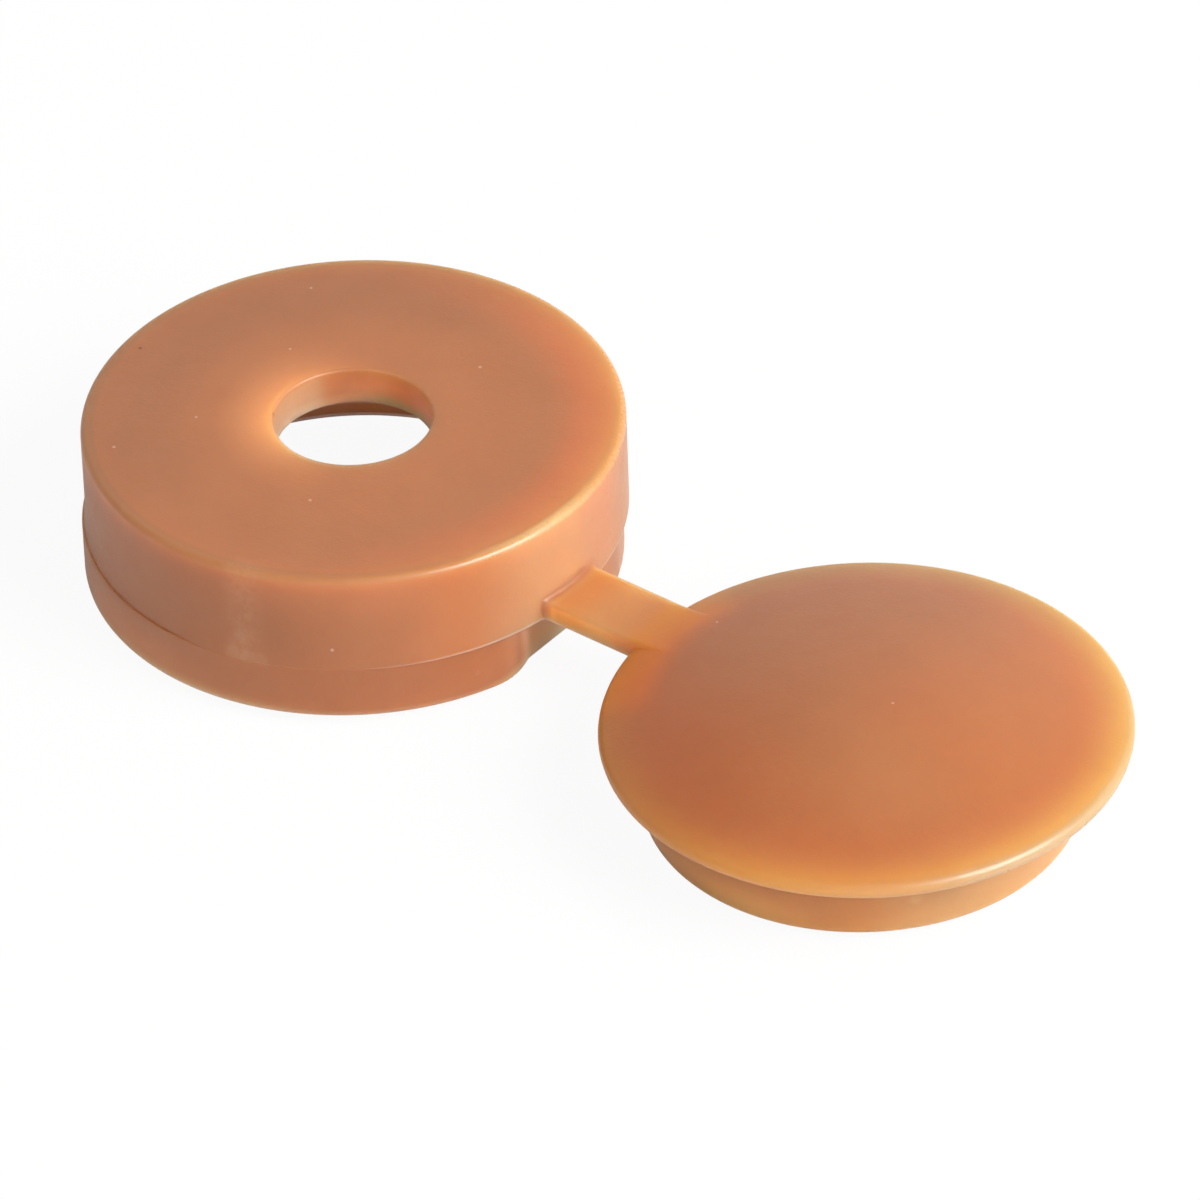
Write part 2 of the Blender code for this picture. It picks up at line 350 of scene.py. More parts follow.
def hole_edge(rings):
    """The hole's edge as (column, row, point), round from the low side's first corner."""
    places = [(column, 0) for column in range(ACROSS + 1)]
    places += [(ACROSS, row) for row in range(1, ROWS + 1)]
    places += [(column, ROWS) for column in range(ACROSS - 1, -1, -1)]
    places += [(0, row) for row in range(ROWS - 1, 0, -1)]
    return [(column, row, rings[row][column]) for column, row in places]


def section_point(column, row, x):
    """A point of the strap's section: flat below, with rounded upper edges."""
    share = across_shares()[column]
    straight = STRAP_THICKNESS - STRAP_EDGE_ROUND
    side = math.copysign(1.0, share)
    arc_y = STRAP_HALF_WIDTH - STRAP_EDGE_ROUND
    if column in (0, ACROSS):
        if row <= ROWS - 2:
            heights = wall_rows()
            rise = 0.0 if row == 0 else (heights[max(row - 2, 0)] - PARTING)
            if row == 1:
                rise = LEDGE_ROUND / 2
            scale = straight / (heights[ROWS - 4] - PARTING)
            return Vector((x, side * STRAP_HALF_WIDTH, PARTING + rise * scale))
        turns = row - (ROWS - 2)
    elif row == 0:
        return Vector((x, share * STRAP_HALF_WIDTH, PARTING))
    elif column in (1, ACROSS - 1):
        turns = 3
    elif column in (2, ACROSS - 2):
        turns = 4
    else:
        inner = share / abs(across_shares()[2])
        return Vector((x, inner * arc_y, PARTING + STRAP_THICKNESS))
    angle = math.radians(EDGE_TURN * turns)
    y = arc_y + STRAP_EDGE_ROUND * math.cos(angle)
    return Vector((x, side * y, PARTING + straight + STRAP_EDGE_ROUND * math.sin(angle)))


def bridge(start, leave, end, arrive, share):
    """A point of the smooth curve from start, left along leave, to end, reached along arrive."""
    gap = end - start
    turn = leave.dot(arrive)
    ahead = back = gap.length / 2
    if abs(turn) < PARALLEL:
        ahead = (gap.dot(leave) - turn * gap.dot(arrive)) / (1.0 - turn**2)
        back = (gap.dot(arrive) - turn * gap.dot(leave)) / (1.0 - turn**2)
    ahead, back = (min(max(reach, gap.length * LEAST_WAY), gap.length) for reach in (ahead, back))
    first = start + leave * ahead * HANDLE
    second = end - arrive * back * HANDLE
    rest = 1.0 - share
    return start * rest**3 + first * 3 * rest**2 * share + second * 3 * rest * share**2 + end * share**3


def cup_leave(column, row):
    """How the cup's wall runs into the fillet at the strap's root."""
    if row == 0 and 0 < column < ACROSS:
        return Vector((1.0, 0.0, 0.0))
    inward = {0: 1.0, ACROSS: -1.0}.get(column, 0.0)
    return Vector((0.0, inward, -1.0 if row == ROWS else 0.0)).normalized()


def cap_leave(column, row, point):
    """How the cap's surface runs into the fillet at the strap's end."""
    if row == 0 and 0 < column < ACROSS:
        return Vector((-1.0, 0.0, 0.0))
    flat = Vector((point.x - cap_x, point.y, 0.0))
    radius = flat.length
    outward = flat / radius
    slope = radius / math.sqrt(dome_radius**2 - radius**2)
    downhill = Vector((outward.x, outward.y, -slope)).normalized()
    if 0 < column < ACROSS:
        return downhill
    inward = Vector((outward.y, -outward.x, 0.0))
    if inward.y * point.y > 0:
        inward = -inward
    share = min(max((row - ROWS / 2) / (ROWS / 2), 0.0), 1.0)
    return (inward * (1.0 - share) + downhill * share).normalized()


def strap(shape, cup_rings, cap_rings):
    """The strap as loops that run from the hole in the cup's wall to the hole in the cap's edge."""
    root_x = BASE_RADIUS + ROOT_FILLET
    end_x = cap_x - math.sqrt(FLANGE_RADIUS**2 - STRAP_HALF_WIDTH**2) - FLANGE_FILLET
    forward = Vector((1.0, 0.0, 0.0))
    cup_edge = hole_edge(cup_rings)
    cap_edge = hole_edge(cap_rings)
    loops = [[vert for _, _, vert in cup_edge]]
    for step in range(1, ROOT_LOOPS + 1):
        loop = []
        for column, row, vert in cup_edge:
            goal = section_point(column, row, root_x)
            loop.append(bridge(vert.co, cup_leave(column, row), goal, forward, step / ROOT_LOOPS))
        loops.append([shape.verts.new(point) for point in loop])
    for step in range(1, STRAP_LOOPS + 1):
        x = root_x + (end_x - root_x) * step / STRAP_LOOPS
        loops.append([shape.verts.new(section_point(column, row, x)) for column, row, _ in cup_edge])
    for step in range(1, END_LOOPS):
        loop = []
        for column, row, vert in cap_edge:
            start = section_point(column, row, end_x)
            leave = cap_leave(column, row, vert.co)
            loop.append(bridge(start, forward, vert.co, -leave, step / END_LOOPS))
        loops.append([shape.verts.new(point) for point in loop])
    loops.append([vert for _, _, vert in cap_edge])
    for low, high in zip(loops, loops[1:]):
        join(shape, low, high, range(len(low)))


def resting():
    """How the moulding lies: leant onto the cup's far rim edge and the skirt's near edge, in metres."""
    cup_edge = LOWER_AXIS.x - (LOWER_RADIUS - LOWER_RIM_ROUND)
    skirt_edge = cap_x + LOWER_AXIS.x - (skirt_end_radius - SKIRT_ROUND)
    lean = math.atan2(-skirt_bottom, skirt_edge - cup_edge)
    left = -BASE_RADIUS * math.cos(lean) - BASE_HEIGHT * math.sin(lean)
    right = (cap_x + FLANGE_RADIUS) * math.cos(lean) - PARTING * math.sin(lean)
    near = min(-BASE_RADIUS, LOWER_AXIS.y - LOWER_RADIUS)
    far = max(BASE_RADIUS, LOWER_AXIS.y + LOWER_RADIUS)
    place = Vector((-(left + right) / 2, -(near + far) / 2, -cup_edge * math.sin(lean)))
    return Matrix.Translation(place * MM) @ Matrix.Rotation(-lean, 4, "Y") @ Matrix.Scale(MM, 4)


def moulding():
    """The whole moulding as one closed surface of rings and loops."""
    shape = bmesh.new()
    cup_angles = column_angles(math.asin((STRAP_HALF_WIDTH + ROOT_FILLET) / BASE_RADIUS))
    cup_rings = [ring(shape, spec, cup_angles, cup_axis, 1.0) for spec in cup_profile()]
    skin(shape, cup_rings, True, ROWS)

    outer, skirt = cap_profile()
    cap_angles = column_angles(math.asin((STRAP_HALF_WIDTH + FLANGE_FILLET) / FLANGE_RADIUS))
    outer_rings = [ring(shape, spec, cap_angles, cap_axis, -1.0) for spec in outer]
    skirt_rings = [ring(shape, spec, cap_angles, cap_axis, -1.0) for spec in skirt]
    skin(shape, outer_rings, False, ROWS)
    skin(shape, skirt_rings + [outer_rings[0]], False, 0)
    cover(shape, outer_rings[-1], (cap_x, 0.0, dome_centre + dome_radius))
    lower_pole = (cap_x + LOWER_AXIS.x, LOWER_AXIS.y, dome_centre + dome_radius - DOME_WALL)
    cover(shape, skirt_rings[0], lower_pole)

    strap(shape, cup_rings, outer_rings)
    unused = [vert for vert in shape.verts if not vert.link_faces]
    bmesh.ops.delete(shape, geom=unused, context="VERTS")
    bmesh.ops.recalc_face_normals(shape, faces=shape.faces)
    mesh = bpy.data.meshes.new("moulded_cap")
    shape.to_mesh(mesh)
    shape.free()
    mesh.transform(resting())
    mesh.shade_smooth()
    mesh.set_sharp_from_angle(angle=SMOOTH_BELOW)
    obj = bpy.data.objects.new("moulded_cap", mesh)
    bpy.context.collection.objects.link(obj)
    return obj


# Camera, fitted to the object's outline: how it looks at the moulding, lengths in millimetres
CAMERA_ELEVATION = math.radians(37.1)
CAMERA_ROLL = math.radians(-2.113)
STRAP_HEADING = math.radians(39.37)
CAMERA_DISTANCE = 287.9
CAMERA_OFFSET = Vector((-5.752, 1.10))
LENS = 360.0
SENSOR = 36.0
CLIP = (0.01, 20.0)

# Light: the key's azimuth from the camera's side, the surround's top edge in degrees above the table and
# how far it is soft, how far the surround leans to the right and where it dims in front, how bright
# things are, and the plain floor
KEY_AZIMUTH = math.radians(58.0)
SURROUND_TOP = 38.5
SURROUND_SOFT = 4.0
SURROUND_LEVEL = 0.85
SURROUND_LEAN = 0.35
SURROUND_FRONT = 0.6
FRONT_REACH = (-0.2, 0.6)
CEILING_LEVEL = 0.15
FLOOR_WHITE = 0.94
FLOOR_GLOSS = 0.35
FLOOR_GREY = 0.82
FLOOR_ROUGHNESS = 0.9
FLOOR_REACH = 3.0

# Colour of the plastic, with light and shade painted into it: the tables below paint a glow where it is
# thin or lit from within, shade, highlights, sheens and reflections of the floor.
# A limit is the name of a region, or a measure with where its share begins and is whole, and the least
# share that it leaves if that isn't 0. Limits in one row are multiplied. A side is an azimuth in degrees
# from the camera's side to its right: the cosine to it seen from an axis, or a reach in mm towards it.
# The painted glow is drawn towards LIGHT. A noise has its scale, detail and roughness.
PLASTIC = (0.46, 0.174, 0.069)
LIGHT = 84.0
NEAR = ("cup side", 0.0)
RIGHT = ("cup side", 90.0)
LIT = ("cup side", LIGHT)
CLOUDS = ("noise", 4.5, 4.0, 0.65)
MOTTLE = ("noise", 0.7, 4.0, 0.6)
REGIONS = {
    "cup": (("x", 6.9, 6.4),),
    "cap": (("x", 8.6, 9.3),),
    "face": ("cup", ("height", 3.9, 4.08)),
    "lit face": ("face", "towards light"),
    "above parting": (("height", 1.48, 1.5),),
    "below parting": (("height", 1.5, 1.48),),
    "wall": ("cup", ("cup radius", 6.2, 6.35), (NEAR, 0.0, 0.4)),
    "upper wall": ("wall", "above parting"),
    "lower wall": ("wall", "below parting"),
    "flange": ("cap", ("cap radius", 6.04, 6.14)),
    "glint": ("flange", (("cap reach", 44.0), 4.96, 6.076)),
    "skirt": ("cap", ("height", 1.5, 1.4)),
    "strap": (("x", 6.45, 6.7), ("x", 9.4, 8.0)),
    "bore wall": (("cup radius", 2.02, 1.96),),
    "polished edge": (
        "cup", ("cup radius", 6.3, 6.4), ("height", 3.9, 3.98), (RIGHT, 0.1, 0.6),
    ),
}
ZONES = {
    # Painted shade: the face darker towards its back left, away from the key light
    "face, painted shade at back left": (
        (0.85, 0.9, 0.98), "face", ("cup radius", 2.9, 4.9), (("cup side", -140.0), -0.2, 0.6, 0.3),
    ),
    # Painted glow: the face lighter and yellower on its lit part, where light enters
    "face, painted glow on lit part": ((1.34, 1.1, 0.98), "lit face", ("cup radius", 4.5, 6.0)),
    # Painted highlight: a pale band on the face's lit rim
    "face, painted highlight on lit rim": ((0.86, 1.2, 1.15), "lit face", ("cup radius", 5.4, 6.3)),
    # Painted sheen: the face's rounded edge paler and bluer all round
    "face edge, painted sheen": ((0.88, 0.97, 1.04), "face", ("cup radius", 6.12, 6.26)),
    # Painted glow round the bore, on the side away from the light
    "painted glow at the bore": (
        (1.42, 1.62, 1.55), "face", "away from light", ("cup radius", 3.5, 2.05),
        ("cup radius", 1.93, 1.99),
    ),
    "cap": ((1.03, 0.96, 0.88), "cap"),
    # Painted shade: the cap darker towards its back left
    "cap, painted shade at back left": ((0.84, 0.88, 0.94), "cap", (("cap reach", 45.0), 2.7, -2.1)),
    # Painted shade: the cap's near left with less green and blue, catching less sheen
    "cap, painted shade at near left": ((1.03, 0.85, 0.74), "cap", (("cap reach", -55.0), 0.6, 4.2)),
    # Painted glow: an orange crescent on the cap where the strap joins it
    "cap, painted glow at the strap": (
        (1.34, 1.1, 0.66), "cap", (("cap side", -122.0), 0.85, 0.97), ("cap radius", 4.7, 5.5),
    ),
    # Painted shade: the cap's lit right side toned down
    "cap, painted shade at right": ((0.98, 0.97, 0.86), "cap", (("cap reach", 105.0), 3.0, 5.7)),
    # Painted sheen: a paler patch on the cap's front
    "cap, painted sheen at front": ((0.96, 1.1, 1.22), "cap", (("distance", cap_x + 1.6, -3.7), 4.2, 0.6)),
    # Painted glow: the cap's rim lighter, more so towards the light
    "cap rim, painted glow": ((0.93, 1.5, 1.3), "cap", "cap towards light", ("cap radius", 4.9, 6.3)),
    # Painted highlight: the cap's edge paler and bluer at its near right
    "cap edge, painted highlight at near right": (
        (0.88, 0.92, 1.3), "cap", ("cap radius", 5.9, 6.2), (("cap reach", 45.0), 1.86, 4.96),
    ),
    # Painted shade on the flange's near right
    "flange, painted shade at near right": ((0.92, 0.95, 1.0), "flange", (("cap reach", 60.0), 2.48, 5.27)),
    # Painted shade at the flange's lower edge
    "flange foot, painted shade": ((0.92, 0.9, 0.92), "flange", ("height", 1.74, 1.6)),
    # Painted glint: a pale highlight on the flange's edge
    "flange, painted glint": ((0.93, 1.05, 1.35), "glint"),
    # Painted glow: the thin skirt lighter, as if light passed through it
    "skirt": ((1.16, 1.3, 1.1), "skirt"),
    # Painted light from the floor, lifting the shade at the skirt's left foot
    "skirt, painted floor light at left foot": (
        (1.7, 1.85, 1.85), "skirt", (("cap reach", -70.0), 2.6, 4.68), ("height", 0.9, 0.0),
    ),
    # Painted sheen: the skirt paler and bluer at its near right
    "skirt, painted sheen at near right": ((0.86, 1.08, 1.4), "skirt", (("cap reach", 45.0), 3.12, 4.94)),
    # Painted shade on the upper wall's front
    "upper wall, painted shade at front": (
        (0.86, 0.85, 0.85), "upper wall", (RIGHT, -0.7, -0.2), (RIGHT, 0.35, 0.1), ("height", 4.0, 2.4),
    ),
    # Painted shade on the lower wall's front, under the upper wall's edge
    "lower wall, painted shade at front": ((0.82, 0.77, 0.74), "lower wall", (RIGHT, -0.6, 0.0)),
    # Painted light from the floor on the lower wall's left
    "lower wall, painted floor light at left": ((1.5, 1.5, 1.5), "lower wall", (RIGHT, -0.42, -0.9), ("height", 1.6, 0.3)),
    # Painted reflection of the floor: a pale band at the lower wall's foot
    "lower wall's foot, painted floor reflection": ((1.15, 1.4, 1.6), "wall", (RIGHT, -0.05, -0.6), ("height", 0.5, 0.2)),
    # Painted reflection of the floor: a pale band at the cup's bottom rim
    "cup rim, painted floor reflection": (
        (1.12, 1.35, 1.6), "cup", (NEAR, -0.1, 0.3), ("height", 0.32, 0.12), ("cup radius", 5.9, 6.1),
    ),
    # Painted light on the relief's flat, which lies in the strap's shade
    "relief flat, painted light": (
        (2.15, 2.35, 2.8), "cup", "below parting", ("x", 5.65, 5.8),
        (("off", "y", LOWER_AXIS.y), 1.25, 0.75),
    ),
    # Painted sheen on the upper wall's front right
    "upper wall's painted sheen": ((1.12, 1.5, 1.9), "upper wall", (RIGHT, 0.35, 0.7), (RIGHT, 0.95, 0.75)),
    # Painted shade on the wall's far right
    "wall, painted shade at far right": (
        (0.78, 0.86, 0.84), "cup", ("cup radius", 6.2, 6.35), ("height", 4.05, 3.9), (RIGHT, 0.9, 0.99),
    ),
    # Painted sheen: a pale, clouded streak on the front-left wall
    "pale streak, painted sheen": (
        (1.1, 1.24, 1.45), "above parting", (("distance", 1.7, -6.28), 0.7, 0.1),
        (CLOUDS, 0.35, 0.65, 0.4),
    ),
    # Painted highlight: a light line along the parting, where the upper wall's edge catches light
    "parting line, painted highlight": (
        (1.2, 1.45, 1.7), "wall", (("off", "height", 1.53), 0.05, 0.0), (RIGHT, 0.0, 0.45),
        (RIGHT, 0.72, 0.6),
    ),
    # Painted shade in the crease under the ledge on the left
    "crease, painted shade": ((0.96, 0.88, 0.88), "wall", (("off", "height", 1.51), 0.03, 0.0), (RIGHT, -0.55, -0.7)),
    # Painted glow: the thin strap lighter, as if light passed through it
    "strap": ((1.1, 1.33, 1.28), "strap"),
    # Painted light from the floor on the strap's sides
    "strap sides, painted floor light": ((1.7, 1.6, 1.75), "strap", ("height", 2.0, 1.85)),
    "strap near the cup": ((1.02, 0.9, 0.74), "strap", ("x", 7.9, 7.0)),
    # Painted shade along the strap's far edge
    "strap's far edge, painted shade": ((0.62, 0.62, 0.8), "strap", ("y", 0.8, 0.88)),
    # Painted shade at the strap's root
    "strap root, painted shade": ((0.95, 0.85, 0.76), (("off", "x", 6.52), 0.2, 0.0), ("height", 2.3, 2.05)),
    # Painted light: the bore's wall lighter, most on its lit side
    "bore": (
        (2.2, 2.7, 3.2), ("cup radius", 1.97, 1.91), ("height", 4.25, 3.35), (LIT, -0.5, 0.3, 0.25),
    ),
    # Painted shade at the back of the bore
    "bore, painted shade at back": ((0.84, 0.8, 0.8), ("cup radius", 2.0, 1.95), (("off", LIT, -0.15), 0.5, 0.0)),
    # Painted sheen: the bore's left paler and bluer near its mouth
    "bore, painted sheen at left": ((0.96, 1.28, 1.65), "bore wall", (LIT, -0.35, -0.6), ("height", 4.1, 3.9)),
    # Painted light from below at the bore's foot
    "bore foot, painted light": ((1.35, 1.4, 1.5), "bore wall", ("height", 3.5, 3.15)),
    # Painted light on the inside of the cup, seen through the bore
    "cup inside, painted light": (
        (2.1, 3.2, 4.2), "cup", ("height", 3.5, 3.0), ("cup radius", 5.9, 5.5), ("height", 3.06, 3.02),
    ),
    "mottle": ((0.96, 0.95, 0.94), (MOTTLE, 0.35, 0.7)),
}

# How the shares towards and away from the light run: the power of the painted glow away from it, and how
# much of the cap's rim's painted glow turns with it
GLOW_POWER = 1.3
RIM_TURN = 0.25

# Small marks as (x, y, z, radius): pale specks, darker ones and pale, bluer marks, and their colour or
# factors
SPECKS = (
    (1.28, -3.19, 4.1, 0.06), (1.21, 3.33, 4.1, 0.06), (-2.95, 1.24, 4.1, 0.05), (-4.13, 3.48, 4.1, 0.05),
    (-3.02, -2.21, 4.1, 0.05), (-3.84, -4.28, 4.1, 0.06), (3.63, -5.39, 2.07, 0.06),
    (6.49, -0.26, 1.69, 0.05), (15.98, 0.08, 2.67, 0.05), (10.35, 0.68, 2.15, 0.05),
)
DARK_SPECKS = ((-5.9, -0.84, 4.1, 0.07), (-1.6, -1.0, 4.06, 0.09))
PALE_MARKS = (
    (5.84, -2.75, 0.74, 0.1), (19.22, -3.39, 0.61, 0.22), (1.4, -6.35, 1.66, 0.3),
    (1.75, -6.27, 1.62, 0.3), (2.1, -6.16, 1.58, 0.25), (1.66, -6.28, 2.15, 0.3),
)
SPECK = (0.8, 0.66, 0.55, 1.0)
SPECK_SHARE = 0.4
DARK_SPECK = (0.55, 0.45, 0.4)
PALE_MARK = (1.06, 1.16, 1.3)
DOT_CORE = 0.3

# The surface: what grain, swells and some regions add to the plain roughness, and how it scatters light
GRAIN = ("noise", 11.0, 2.0, 0.6)
SWELLS = ("noise", 1.6, 2.0, 0.5)
PLAIN_ROUGHNESS = 0.24
SWELLS_ROUGHNESS = 0.1
GRAIN_ROUGHNESS = 0.16
REGION_ROUGHNESS = {"strap": 0.25, "glint": -0.07, "polished edge": -0.1}
SWELLS_HEIGHT = 3.0
BUMP_DISTANCE = 0.0035
INDEX_OF_REFRACTION = 1.5
SCATTER_DISTANCE = 2.2
SCATTER_BY_COLOUR = (1.0, 0.8, 0.5)

ORIGIN = (0.0, 0.0, 0.0)
CAP_ORIGIN = (cap_x, 0.0, 0.0)
FLAT = (1.0, 1.0, 0.0)


def seen_from_camera(across, away, up):
    """A direction in the world, given along the camera's right, away from it over the table, and up."""
    right = Vector((math.cos(STRAP_HEADING), math.sin(STRAP_HEADING), 0.0))
    ahead = Vector((-math.sin(STRAP_HEADING), math.cos(STRAP_HEADING), 0.0))
    return right * across + ahead * away + Vector((0.0, 0.0, up))


class Graph:
    """A node tree written as sums: each method adds one node and returns what it gives."""

    def __init__(self, tree):
        self.tree = tree

    def node(self, kind, values, **settings):
        made = self.tree.nodes.new(kind)
        for name, value in settings.items():
            setattr(made, name, value)
        for key, value in values.items():
            self.feed(made.inputs[key], value)
        return made

    def feed(self, socket, value):
        if isinstance(value, bpy.types.NodeSocket):
            self.tree.links.new(value, socket)
        else:
            socket.default_value = value

    def math(self, operation, *values):
        return self.node("ShaderNodeMath", dict(enumerate(values)), operation=operation).outputs[0]

    def vector(self, operation, *values):
        return self.node("ShaderNodeVectorMath", dict(enumerate(values)), operation=operation).outputs

    def times(self, *values):
        product = values[0]
        for value in values[1:]:
            product = self.math("MULTIPLY", product, value)
        return product

    def smooth(self, value, low, high):
        """A share that rises smoothly from 0 at low to 1 at high."""
        ends = {"Value": value, "From Min": low, "From Max": high}
        return self.node("ShaderNodeMapRange", ends, interpolation_type="SMOOTHSTEP").outputs[0]

    def length(self, place, centre, scale=(1.0, 1.0, 1.0)):
        moved = self.vector("SUBTRACT", place, centre)[0]
        sized = self.vector("MULTIPLY", moved, scale)[0]
        return self.vector("LENGTH", sized)["Value"]

    def along(self, place, direction):
        return self.vector("DOT_PRODUCT", place, direction)["Value"]

    def dots(self, place, spots):
        """A share that is 1 in small round spots, given as (x, y, z, radius)."""
        shares = [self.smooth(self.length(place, spot[:3]), spot[3], DOT_CORE * spot[3]) for spot in spots]
        total = shares[0]
        for share in shares[1:]:
            total = self.math("MAXIMUM", total, share)
        return total

    def noise(self, place, scale, detail, roughness):
        values = {"Vector": place, "Scale": scale, "Detail": detail, "Roughness": roughness}
        return self.node("ShaderNodeTexNoise", values).outputs["Fac"]

    def tint(self, colour, share, factors):
        """A colour whose parts are multiplied by factors, as far as the share says."""
        made = self.node("ShaderNodeMix", {0: share, 6: colour}, data_type="RGBA", blend_type="MULTIPLY")
        made.inputs[7].default_value = (*factors, 1.0)
        return made.outputs[2]

    def mix(self, share, first, second):
        return self.node("ShaderNodeMix", {0: share, 6: first, 7: second}, data_type="RGBA").outputs[2]


class Moulding(Graph):
    """A graph that tells where on the moulding a point lies, in the moulding's frame.

    It makes each measure once, when a table first names it.
    """

    def __init__(self, tree):
        super().__init__(tree)
        moved, turned, scaled = resting().decompose()
        self.place = self.node("ShaderNodeMapping", {
            "Vector": self.node("ShaderNodeTexCoord", {}).outputs["Object"],
            "Location": moved,
            "Rotation": turned.to_euler(),
            "Scale": scaled,
        }, vector_type="TEXTURE").outputs[0]
        self.from_cap = self.vector("SUBTRACT", self.place, CAP_ORIGIN)[0]
        parts = self.node("ShaderNodeSeparateXYZ", {0: self.place}).outputs
        self.measures = {
            "x": parts["X"],
            "y": parts["Y"],
            "height": parts["Z"],
            "cup radius": self.length(self.place, ORIGIN, FLAT),
            "cap radius": self.length(self.place, CAP_ORIGIN, FLAT),
        }
        self.shares = {}

    def measure(self, name):
        """A measure by its name, or by its kind and values, as in the tables."""
        if name not in self.measures:
            self.measures[name] = self.new_measure(*name)
        return self.measures[name]

    def new_measure(self, kind, *values):
        """A noise, a distance from an upright axis, how far another measure is off, a side or a reach."""
        if kind == "noise":
            return self.noise(self.place, *values)
        if kind == "distance":
            return self.length(self.place, (*values, 0.0), FLAT)
        if kind == "off":
            name, middle = values
            return self.math("ABSOLUTE", self.math("SUBTRACT", self.measure(name), middle))
        azimuth = math.radians(values[0])
        side = seen_from_camera(math.sin(azimuth), -math.cos(azimuth), 0.0)
        if kind == "cup side":
            return self.math("DIVIDE", self.along(self.place, side), self.measure("cup radius"))
        reach = self.along(self.from_cap, side)
        if kind == "cap side":
            return self.math("DIVIDE", reach, self.measure("cap radius"))
        return reach

    def share(self, limit):
        """The share of one limit: a region's, or a measure's smooth rise. A region's is made once."""
        if isinstance(limit, str):
            if limit not in self.shares:
                self.shares[limit] = self.new_region(limit)
            return self.shares[limit]
        name, begins, whole, *least = limit
        rise = self.smooth(self.measure(name), begins, whole)
        return self.math("MULTIPLY_ADD", rise, 1.0 - least[0], least[0]) if least else rise

    def new_region(self, name):
        """A region's share, from the table or, where it isn't a product of limits, from a sum here."""
        if name == "towards light":
            return self.math("MAXIMUM", self.measure(LIT), 0.0)
        if name == "away from light":
            away = self.math("MAXIMUM", self.times(self.measure(LIT), -1.0), 0.0)
            return self.math("POWER", away, GLOW_POWER)
        if name == "cap towards light":
            return self.math("MULTIPLY_ADD", self.measure(("cap side", LIGHT)), RIM_TURN, 1.0 - RIM_TURN)
        return self.product(REGIONS[name])

    def product(self, limits):
        """The share of a row of limits."""
        return self.times(*[self.share(limit) for limit in limits])


def plastic():
    """Translucent polyolefin. Its colour is lighter and yellower where it is thin or where light enters.

    Light also spreads under its surface, but plain colour alone loses that, so the glow near lit edges is
    partly painted here, with painted shade, highlights and reflections of the floor. All places are in the
    moulding's frame.
    """
    material = bpy.data.materials.new("light_oak_plastic")
    material.use_nodes = True
    graph = Moulding(material.node_tree)
    place = graph.place
    colour = graph.node("ShaderNodeRGB", {}).outputs[0]
    colour.default_value = (*PLASTIC, 1.0)
    for factors, *limits in ZONES.values():
        colour = graph.tint(colour, graph.product(limits), factors)
    colour = graph.tint(colour, graph.dots(place, DARK_SPECKS), DARK_SPECK)
    colour = graph.tint(colour, graph.dots(place, PALE_MARKS), PALE_MARK)
    colour = graph.mix(graph.times(graph.dots(place, SPECKS), SPECK_SHARE), colour, SPECK)

    grain = graph.measure(GRAIN)
    swells = graph.measure(SWELLS)
    rough = graph.math("MULTIPLY_ADD", swells, SWELLS_ROUGHNESS, PLAIN_ROUGHNESS)
    rough = graph.math("MULTIPLY_ADD", grain, GRAIN_ROUGHNESS, rough)
    for region, more in REGION_ROUGHNESS.items():
        rough = graph.math("MULTIPLY_ADD", graph.share(region), more, rough)
    height = graph.math("MULTIPLY_ADD", swells, SWELLS_HEIGHT, grain)
    relief = {"Strength": 1.0, "Distance": BUMP_DISTANCE * MM, "Height": height}

    shader = material.node_tree.nodes["Principled BSDF"]
    shader.subsurface_method = "RANDOM_WALK"
    values = {
        "Base Color": colour,
        "Roughness": rough,
        "Normal": graph.node("ShaderNodeBump", relief).outputs[0],
        "IOR": INDEX_OF_REFRACTION,
        "Subsurface Weight": 1.0,
        "Subsurface Radius": SCATTER_BY_COLOUR,
        "Subsurface Scale": SCATTER_DISTANCE * MM,
    }
    for name, value in values.items():
        graph.feed(shader.inputs[name], value)
    return material


def camera():
    """The photograph's camera. Seen from it, the strap runs to the right and nearer, by its heading."""
    right = seen_from_camera(1.0, 0.0, 0.0)
    away = seen_from_camera(0.0, 1.0, 0.0)
    up = seen_from_camera(0.0, 0.0, 1.0)
    forward = away * math.cos(CAMERA_ELEVATION) - up * math.sin(CAMERA_ELEVATION)
    upward = away * math.sin(CAMERA_ELEVATION) + up * math.cos(CAMERA_ELEVATION)
    rolled_right = right * math.cos(CAMERA_ROLL) + upward * math.sin(CAMERA_ROLL)
    rolled_up = upward * math.cos(CAMERA_ROLL) - right * math.sin(CAMERA_ROLL)
    place = -(rolled_right * CAMERA_OFFSET.x + rolled_up * CAMERA_OFFSET.y + forward * CAMERA_DISTANCE)
    turn = Matrix((rolled_right, rolled_up, -forward)).transposed().to_4x4()
    data = bpy.data.cameras.new("camera")
    data.lens = LENS
    data.sensor_width = SENSOR
    data.clip_start, data.clip_end = CLIP
    obj = bpy.data.objects.new("camera", data)
    bpy.context.collection.objects.link(obj)
    stand = resting() @ Matrix.Translation(place) @ turn
    obj.matrix_world = Matrix.LocRotScale(stand.to_translation(), stand.to_quaternion(), None)
    bpy.context.scene.camera = obj


def area_light(name, azimuth, elevation, distance, size, power, colour):
    """A square soft box over the table. Its azimuth runs from the camera's side to the camera's right."""
    data = bpy.data.lights.new(name, "AREA")
    data.shape = "RECTANGLE"
    data.size = size
    data.size_y = size
    data.energy = power
    data.color = colour
    level = math.cos(elevation)
    away = seen_from_camera(math.sin(azimuth) * level, -math.cos(azimuth) * level, math.sin(elevation))
    obj = bpy.data.objects.new(name, data)
    obj.location = away * distance
    obj.rotation_euler = away.to_track_quat("Z", "Y").to_euler()
    bpy.context.collection.objects.link(obj)


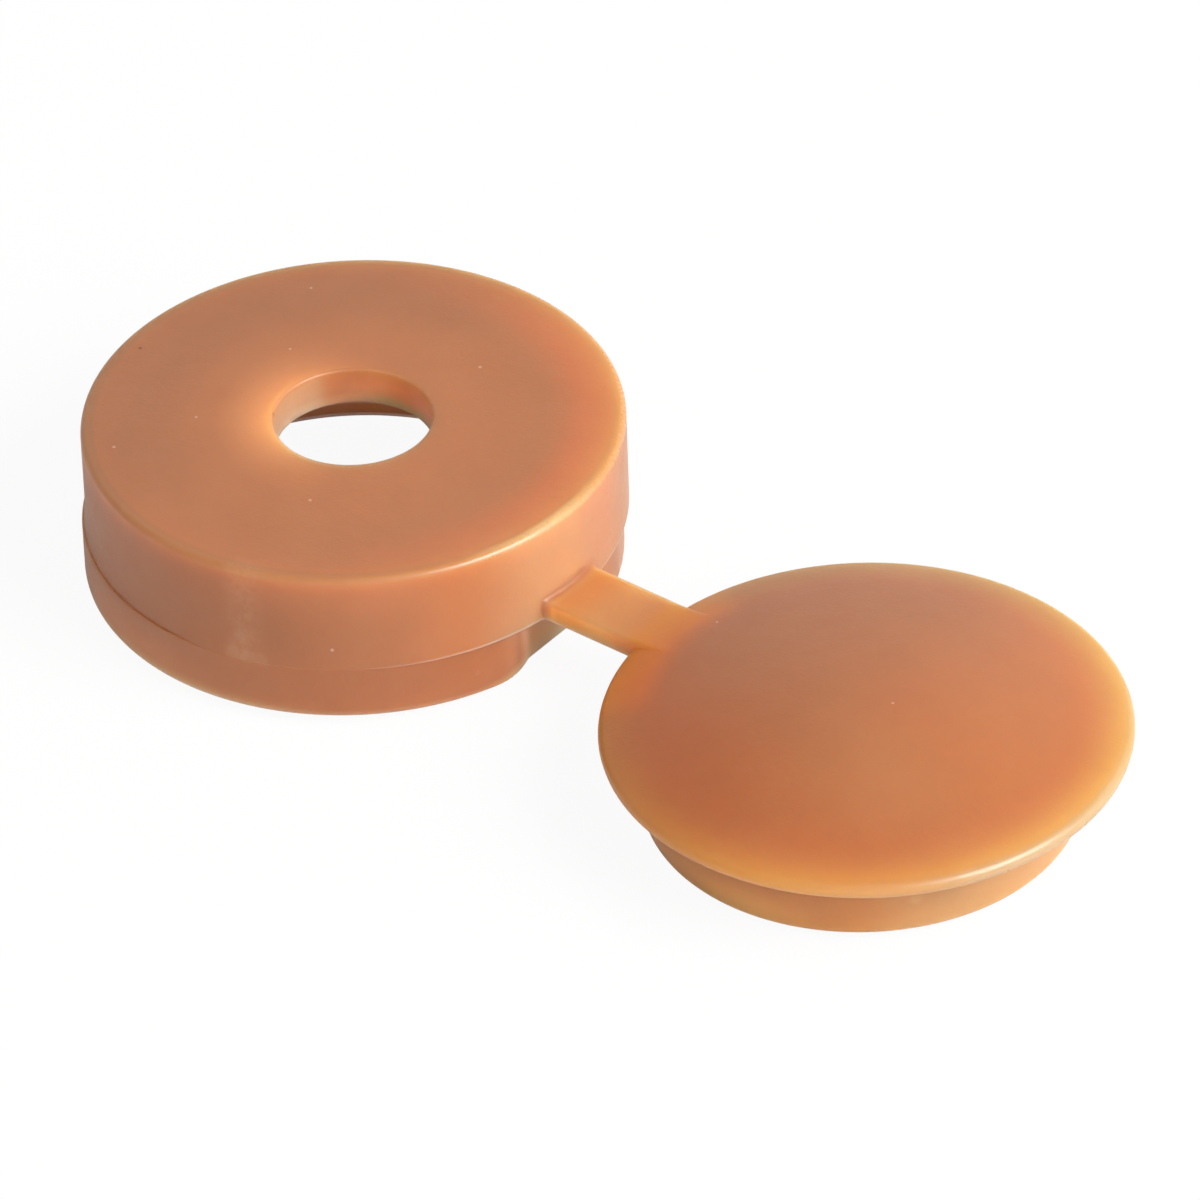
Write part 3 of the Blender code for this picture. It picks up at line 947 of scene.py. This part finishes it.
def floor():
    """A pale table. The camera sees it nearly white, with the object's soft shadow."""
    mesh = bpy.data.meshes.new("floor")
    sides = ((-1, -1), (1, -1), (1, 1), (-1, 1))
    mesh.from_pydata([(x * FLOOR_REACH, y * FLOOR_REACH, 0.0) for x, y in sides], [], [(0, 1, 2, 3)])
    obj = bpy.data.objects.new("floor", mesh)
    bpy.context.collection.objects.link(obj)
    material = bpy.data.materials.new("pale_floor")
    material.use_nodes = True
    tree = material.node_tree
    shader = tree.nodes["Principled BSDF"]
    shader.inputs["Base Color"].default_value = (FLOOR_GREY, FLOOR_GREY, FLOOR_GREY, 1.0)
    shader.inputs["Roughness"].default_value = FLOOR_ROUGHNESS
    graph = Graph(tree)
    path = graph.node("ShaderNodeLightPath", {}).outputs
    seen = graph.times(path["Is Camera Ray"], FLOOR_WHITE)
    mirrored = graph.math("MAXIMUM", path["Is Glossy Ray"], path["Is Transmission Ray"])
    share = graph.math("ADD", seen, graph.times(mirrored, FLOOR_GLOSS))
    glow = graph.node("ShaderNodeEmission", {}).outputs[0]
    mix = graph.node("ShaderNodeMixShader", {0: share, 1: shader.outputs[0], 2: glow})
    graph.feed(tree.nodes["Material Output"].inputs["Surface"], mix.outputs[0])
    mesh.materials.append(material)


def world():
    """A white surround that ends at a height, dimmer in front, with a dim ceiling above it."""
    studio = bpy.data.worlds.new("studio")
    studio.use_nodes = True
    graph = Graph(studio.node_tree)
    direction = graph.node("ShaderNodeTexCoord", {}).outputs["Generated"]
    height = graph.node("ShaderNodeSeparateXYZ", {0: direction}).outputs["Z"]
    low, high = (math.sin(math.radians(SURROUND_TOP + off)) for off in (-SURROUND_SOFT, SURROUND_SOFT))
    ceiling = graph.smooth(height, low, high)
    side = graph.along(direction, seen_from_camera(1.0, 0.0, 0.0))
    surround = graph.math("MULTIPLY_ADD", side, SURROUND_LEVEL * SURROUND_LEAN, SURROUND_LEVEL)
    front = graph.smooth(graph.along(direction, seen_from_camera(0.0, -1.0, 0.0)), *FRONT_REACH)
    surround = graph.times(surround, graph.math("MULTIPLY_ADD", front, SURROUND_FRONT - 1.0, 1.0))
    level = graph.node("ShaderNodeMix", {0: ceiling, 2: surround, 3: CEILING_LEVEL}).outputs[0]
    seen = graph.node("ShaderNodeLightPath", {}).outputs["Is Camera Ray"]
    strength = graph.node("ShaderNodeMix", {0: seen, 2: level, 3: 1.0}).outputs[0]
    background = studio.node_tree.nodes["Background"]
    graph.feed(background.inputs["Color"], (1.0, 1.0, 1.0, 1.0))
    graph.feed(background.inputs["Strength"], strength)
    bpy.context.scene.world = studio


cap = moulding()
cap.data.materials.append(plastic())
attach(cap, "root")
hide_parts("screw_cover_cap")

camera()
floor()
world()
area_light(
    "key", KEY_AZIMUTH, elevation=math.radians(38.0), distance=0.4, size=0.26, power=2.75,
    colour=(1.0, 0.98, 0.95),
)
bpy.context.scene.view_settings.view_transform = "Standard"
